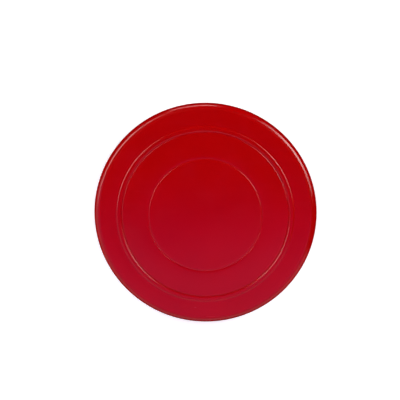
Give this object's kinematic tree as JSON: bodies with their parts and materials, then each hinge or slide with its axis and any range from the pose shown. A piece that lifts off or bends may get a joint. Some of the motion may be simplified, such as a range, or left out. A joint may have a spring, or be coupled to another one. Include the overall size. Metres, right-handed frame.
{
  "type": "air hockey puck",
  "caption": "Round air hockey puck: a rimmed body with a face disc let into each side, a rounded edge, a low raised band and a low centre plateau.",
  "frame": {"origin": "the centre of the puck, halfway between its faces", "axes": "+Z is the puck's axis and points out of the upper face; X and Y lie in the plane of the puck"},
  "size_m": [0.0826, 0.0826, 0.007],
  "materials": {
    "body_plastic": "glossy deep red moulded plastic",
    "disc_plastic": "glossy deep red moulded plastic, the same as the body"
  },
  "bodies": {
    "root": {"puck_body": "body_plastic", "upper_disc": "disc_plastic", "lower_disc": "disc_plastic"}
  },
  "joints": []
}
